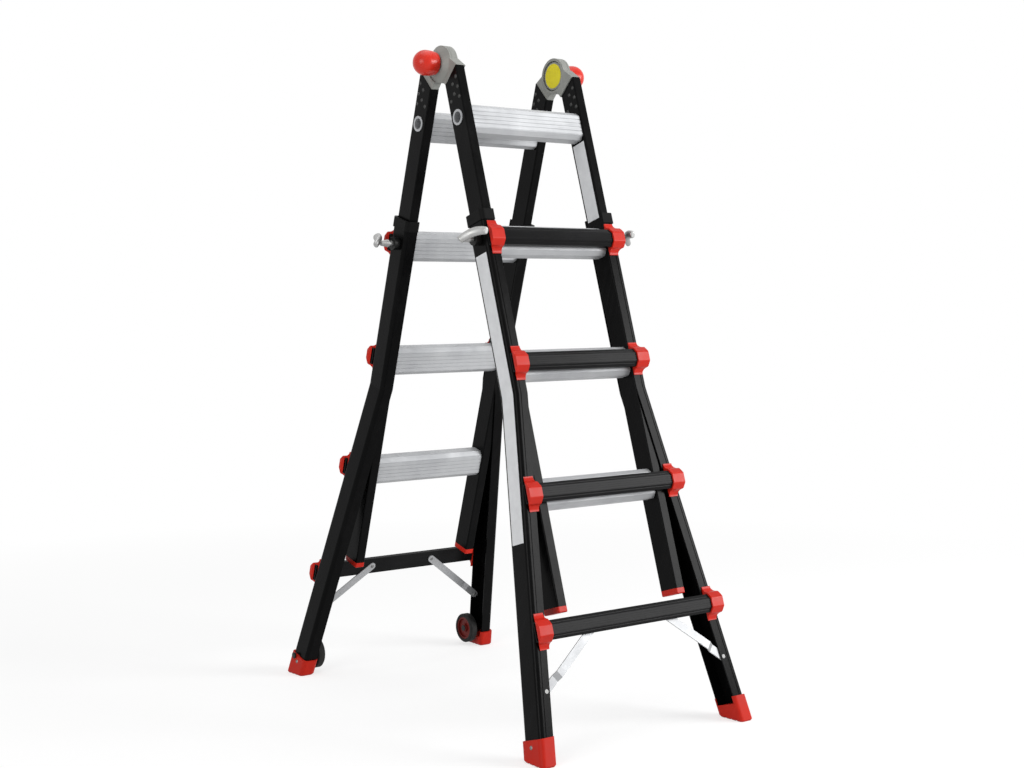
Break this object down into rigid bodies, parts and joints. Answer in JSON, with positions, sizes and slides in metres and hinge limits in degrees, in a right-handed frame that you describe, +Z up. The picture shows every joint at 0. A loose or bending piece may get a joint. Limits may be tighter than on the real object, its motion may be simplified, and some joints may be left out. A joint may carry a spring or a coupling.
{
  "type": "combination ladder",
  "caption": "Telescopic combination ladder with flared hinged sections and spring locks, set up as a free-standing A-frame stepladder.",
  "frame": {"origin": "on the floor, under the hinge axis, midway between the rails", "axes": "+X along the rungs, +Y from the front half towards the rear half with the wheels, +Z up"},
  "size_m": [0.5888, 1.0358, 1.487],
  "materials": {
    "black_rails": "black anodised extrusion, satin",
    "black_rungs": "black anodised ribbed extrusion, satin",
    "bare_rungs": "mill-finish ribbed extrusion",
    "bare_straps": "mill-finish strap",
    "rivets": "plain rivet heads",
    "cast_hinge": "grey coated casting",
    "red_plastic": "moulded red-orange plastic",
    "red_shoes": "moulded red-orange non-slip plastic",
    "black_plastic": "moulded black plastic",
    "black_steel": "blackened steel",
    "spring_steel": "drawn wire",
    "lever_steel": "zinc-plated steel",
    "pin_steel": "zinc-plated steel",
    "tyre": "moulded black rubber",
    "wheel_plastic": "dark red moulded plastic"
  },
  "bodies": {
    "front_outer": {"front_braces": "bare_straps", "front_left_outer_rail": "black_rails", "front_lock_housings": "black_steel", "front_lock_springs": "spring_steel", "front_outer_rivets": "rivets", "front_outer_rung_1": "black_rungs", "front_outer_rung_2": "black_rungs", "front_outer_rung_3": "black_rungs", "front_outer_rung_4": "black_rungs", "front_rail_collars": "black_plastic", "front_right_outer_rail": "black_rails", "front_rung_brackets": "red_plastic", "front_shoes": "red_shoes"},
    "front_inner": {"front_end_caps": "red_plastic", "front_hinge_leaves": "cast_hinge", "front_inner_rung_1": "bare_rungs", "front_inner_rung_2": "bare_rungs", "front_inner_rung_3": "bare_rungs", "front_inner_rung_4": "bare_rungs", "front_leaf_rivets": "rivets", "front_left_inner_rail": "black_rails", "front_right_inner_rail": "black_rails"},
    "rear_inner": {"hinge_pivots": "pin_steel", "hinge_springs": "spring_steel", "rear_end_caps": "red_plastic", "rear_hinge_leaves": "cast_hinge", "rear_inner_rung_1": "bare_rungs", "rear_inner_rung_2": "bare_rungs", "rear_inner_rung_3": "bare_rungs", "rear_inner_rung_4": "bare_rungs", "rear_leaf_rivets": "rivets", "rear_left_inner_rail": "black_rails", "rear_right_inner_rail": "black_rails"},
    "rear_outer": {"rear_braces": "bare_straps", "rear_left_outer_rail": "black_rails", "rear_lock_housings": "black_steel", "rear_lock_springs": "spring_steel", "rear_outer_rivets": "rivets", "rear_outer_rung_1": "black_rungs", "rear_outer_rung_2": "black_rungs", "rear_outer_rung_3": "black_rungs", "rear_outer_rung_4": "black_rungs", "rear_rail_collars": "black_plastic", "rear_right_outer_rail": "black_rails", "rear_rung_brackets": "red_plastic", "rear_shoes": "red_shoes", "wheel_axles": "black_steel"},
    "left_hinge_lock": {"left_hinge_knob": "red_plastic", "left_hinge_lock_plate": "cast_hinge"},
    "right_hinge_lock": {"right_hinge_knob": "red_plastic", "right_hinge_lock_plate": "cast_hinge"},
    "front_left_lock": {"front_left_lock_lever": "lever_steel"},
    "front_right_lock": {"front_right_lock_lever": "lever_steel"},
    "rear_left_lock": {"rear_left_lock_lever": "lever_steel"},
    "rear_right_lock": {"rear_right_lock_lever": "lever_steel"},
    "left_wheel": {"left_wheel_hub": "wheel_plastic", "left_wheel_tyre": "tyre"},
    "right_wheel": {"right_wheel_hub": "wheel_plastic", "right_wheel_tyre": "tyre"}
  },
  "joints": [
    {"name": "front_section_slide", "type": "slide", "parent": "front_outer", "child": "front_inner", "axis": [0, 0.2924, 0.9563], "range_m": [0, 0.56]},
    {"name": "main_hinge", "type": "hinge", "parent": "front_inner", "child": "rear_inner", "pos_m": [0, 0, 1.446], "axis": [1, 0, 0], "range_deg": [-34, 146]},
    {"name": "rear_section_slide", "type": "slide", "parent": "rear_inner", "child": "rear_outer", "axis": [0, 0.2924, -0.9563], "range_m": [0, 0.56]},
    {"name": "left_hinge_knob_press", "type": "slide", "parent": "front_inner", "child": "left_hinge_lock", "axis": [1, 0, 0], "range_m": [-0.004, 0.003]},
    {"name": "front_left_lever_pull", "type": "slide", "parent": "front_outer", "child": "front_left_lock", "axis": [-1, 0, 0], "range_m": [-0.011, 0.002]},
    {"name": "rear_left_lever_pull", "type": "slide", "parent": "rear_outer", "child": "rear_left_lock", "axis": [-1, 0, 0], "range_m": [-0.011, 0.002]},
    {"name": "right_hinge_knob_press", "type": "slide", "parent": "front_inner", "child": "right_hinge_lock", "axis": [-1, 0, 0], "range_m": [-0.004, 0.003]},
    {"name": "front_right_lever_pull", "type": "slide", "parent": "front_outer", "child": "front_right_lock", "axis": [1, 0, 0], "range_m": [-0.011, 0.002]},
    {"name": "rear_right_lever_pull", "type": "slide", "parent": "rear_outer", "child": "rear_right_lock", "axis": [1, 0, 0], "range_m": [-0.011, 0.002]},
    {"name": "left_wheel_spin", "type": "hinge", "parent": "rear_outer", "child": "left_wheel", "pos_m": [0, 0.48215, 0.04682], "axis": [1, 0, 0], "continuous": true},
    {"name": "right_wheel_spin", "type": "hinge", "parent": "rear_outer", "child": "right_wheel", "pos_m": [0, 0.48215, 0.04682], "axis": [1, 0, 0], "continuous": true}
  ]
}
